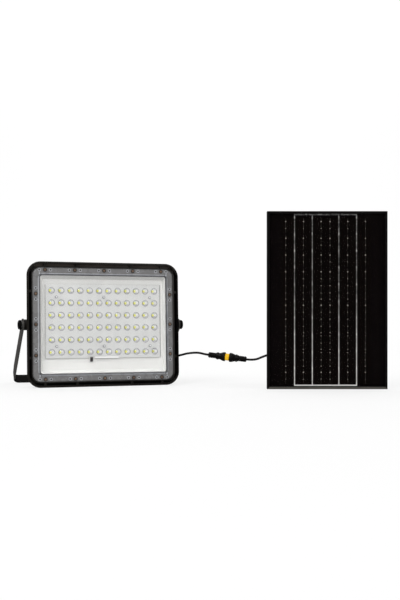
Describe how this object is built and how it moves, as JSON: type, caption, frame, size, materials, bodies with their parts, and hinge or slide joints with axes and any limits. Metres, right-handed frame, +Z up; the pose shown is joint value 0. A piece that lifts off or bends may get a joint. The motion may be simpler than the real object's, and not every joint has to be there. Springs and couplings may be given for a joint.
{
  "type": "solar flood light",
  "caption": "LED flood lamp on a U-bracket, joined by a lead with a screw-ring connector to a framed solar panel on a hinged leg.",
  "frame": {"origin": "on the ground, below the middle of the bounding box", "axes": "+X runs along the panel's width from the lamp towards the panel, +Y runs from the panel's front to its back, +Z is up"},
  "size_m": [0.7732, 0.2914, 0.35],
  "materials": {
    "lamp_housing": "black satin paint",
    "front_cover": "clear, glossy",
    "cover_gasket": "matt",
    "cover_screws": "dull",
    "reflector_tray": "white satin",
    "led_board": "white solder mask",
    "led_chips": "yellow phosphor in a white package",
    "lens_plate": "clear, glossy",
    "lens_screws": "bright nickel",
    "infrared_sensor": "glossy",
    "blank_label": "white",
    "battery_cells": "shrink sleeve",
    "battery_cradle": "matt",
    "battery_hatch": "satin",
    "hatch_gasket": "matt",
    "hatch_screws": "dull",
    "control_board": "solder mask",
    "inner_wires": "insulation",
    "cable_grommet": "matt",
    "strain_clamp": "matt",
    "breather_valve": "matt",
    "power_switch": "matt",
    "power_button": "matt",
    "pivot_inserts": "machined",
    "lamp_bracket": "powder coat",
    "right_washer": "zinc plated",
    "right_knob": "fine texture",
    "right_bolt": "zinc plated",
    "left_washer": "zinc plated",
    "left_knob": "fine texture",
    "left_bolt": "zinc plated",
    "socket_boot": "matt",
    "socket_body": "satin",
    "socket_contacts": "plated",
    "seal_ring": "yellow silicone",
    "coupling_nut": "satin",
    "plug_body": "satin",
    "plug_pins": "plated",
    "plug_boot": "matt",
    "frame_stiles": "black anodised",
    "frame_rails": "black anodised",
    "corner_keys": "mill finish",
    "panel_glass": "tempered, glossy",
    "backsheet": "black film",
    "edge_sealant": "silicone",
    "solar_cells": "dark silicon",
    "cell_ribbons": "tinned",
    "junction_box": "matt",
    "junction_lid": "matt",
    "junction_terminals": "plated",
    "back_rail": "powder coat",
    "rail_screws": "zinc plated",
    "hinge_bolt": "zinc plated",
    "panel_leg": "powder coat",
    "hinge_washer": "zinc plated",
    "wing_nut": "zinc plated",
    "lamp_cable": "satin sheath",
    "lamp_cable_end": "satin sheath",
    "panel_cable_start": "satin sheath",
    "panel_cable_end": "satin sheath"
  },
  "bodies": {
    "lamp_head": {"lamp_housing": "lamp_housing", "front_cover": "front_cover", "cover_gasket": "cover_gasket", "cover_screws": "cover_screws", "reflector_tray": "reflector_tray", "led_board": "led_board", "led_chips": "led_chips", "lens_plate": "lens_plate", "lens_screws": "lens_screws", "infrared_sensor": "infrared_sensor", "blank_label": "blank_label", "battery_cells": "battery_cells", "battery_cradle": "battery_cradle", "battery_hatch": "battery_hatch", "hatch_gasket": "hatch_gasket", "hatch_screws": "hatch_screws", "control_board": "control_board", "inner_wires": "inner_wires", "cable_grommet": "cable_grommet", "strain_clamp": "strain_clamp", "breather_valve": "breather_valve", "power_switch": "power_switch", "pivot_inserts": "pivot_inserts", "lamp_cable": "lamp_cable"},
    "bracket": {"lamp_bracket": "lamp_bracket"},
    "left_clamp": {"left_washer": "left_washer"},
    "left_grip": {"left_knob": "left_knob", "left_bolt": "left_bolt"},
    "right_clamp": {"right_washer": "right_washer"},
    "right_grip": {"right_knob": "right_knob", "right_bolt": "right_bolt"},
    "button": {"power_button": "power_button"},
    "socket": {"lamp_cable_end": "lamp_cable_end", "socket_boot": "socket_boot", "socket_body": "socket_body", "socket_contacts": "socket_contacts", "seal_ring": "seal_ring"},
    "plug": {"plug_body": "plug_body", "plug_pins": "plug_pins", "plug_boot": "plug_boot", "panel_cable_start": "panel_cable_start"},
    "nut": {"coupling_nut": "coupling_nut"},
    "panel": {"frame_stiles": "frame_stiles", "frame_rails": "frame_rails", "corner_keys": "corner_keys", "panel_glass": "panel_glass", "backsheet": "backsheet", "edge_sealant": "edge_sealant", "solar_cells": "solar_cells", "cell_ribbons": "cell_ribbons", "junction_box": "junction_box", "junction_lid": "junction_lid", "junction_terminals": "junction_terminals", "back_rail": "back_rail", "rail_screws": "rail_screws", "hinge_bolt": "hinge_bolt", "panel_cable_end": "panel_cable_end"},
    "leg": {"panel_leg": "panel_leg"},
    "hinge_clamp": {"hinge_washer": "hinge_washer"},
    "wing": {"wing_nut": "wing_nut"}
  },
  "joints": [
    {"name": "bracket_tilt", "type": "hinge", "parent": "lamp_head", "child": "bracket", "pos_m": [-0.18423, -0.04689, 0.12624], "axis": [0.9461, 0.3239, 0], "range_deg": [-40, 122]},
    {"name": "left_clamp_travel", "type": "slide", "parent": "lamp_head", "child": "left_clamp", "axis": [-0.9461, -0.3239, 0], "range_m": [0, 0.0019]},
    {"name": "left_grip_turn", "type": "hinge", "parent": "left_clamp", "child": "left_grip", "pos_m": [-0.18423, -0.04689, 0.12624], "axis": [-0.9461, -0.3239, 0], "range_deg": [0, 540]},
    {"name": "right_clamp_travel", "type": "slide", "parent": "lamp_head", "child": "right_clamp", "axis": [0.9461, 0.3239, 0], "range_m": [0, 0.0019]},
    {"name": "right_grip_turn", "type": "hinge", "parent": "right_clamp", "child": "right_grip", "pos_m": [-0.18423, -0.04689, 0.12624], "axis": [0.9461, 0.3239, 0], "range_deg": [0, 540]},
    {"name": "button_press", "type": "slide", "parent": "lamp_head", "child": "button", "axis": [0.3236, -0.9453, 0.041], "range_m": [0, 0.0015], "stiffness_N_per_m": 600},
    {"name": "lamp_lead_flex", "type": "hinge", "parent": "lamp_head", "child": "socket", "pos_m": [0.01169, -0.03769, 0.0677], "axis": [0, 0, 1], "range_deg": [-12, 18]},
    {"name": "plug_pull", "type": "slide", "parent": "socket", "child": "plug", "axis": [0.9722, -0.2064, -0.1108], "range_m": [0, 0.024]},
    {"name": "nut_turn", "type": "hinge", "parent": "plug", "child": "nut", "pos_m": [0.07399, -0.07369, 0.0602], "axis": [0.9722, -0.2064, -0.1108], "continuous": true},
    {"name": "panel_lead_flex", "type": "hinge", "parent": "plug", "child": "panel", "pos_m": [0.13159, -0.09969, 0.057], "axis": [0, 0, 1], "range_deg": [-12, 18]},
    {"name": "leg_tilt", "type": "hinge", "parent": "panel", "child": "leg", "pos_m": [0.26839, -0.10969, 0.17], "axis": [1, 0, 0], "range_deg": [-38, 52]},
    {"name": "hinge_clamp_travel", "type": "slide", "parent": "panel", "child": "hinge_clamp", "axis": [1, 0, 0], "range_m": [0, 0.0025]},
    {"name": "wing_turn", "type": "hinge", "parent": "hinge_clamp", "child": "wing", "pos_m": [0.26839, -0.10969, 0.17], "axis": [1, 0, 0], "range_deg": [0, 720]}
  ],
  "couplings": [
    {"joint": "left_clamp_travel", "follows": "left_grip_turn", "m_per_rad": 0.00019894},
    {"joint": "right_clamp_travel", "follows": "right_grip_turn", "m_per_rad": 0.00019894},
    {"joint": "hinge_clamp_travel", "follows": "wing_turn", "m_per_rad": 0.00019894}
  ]
}
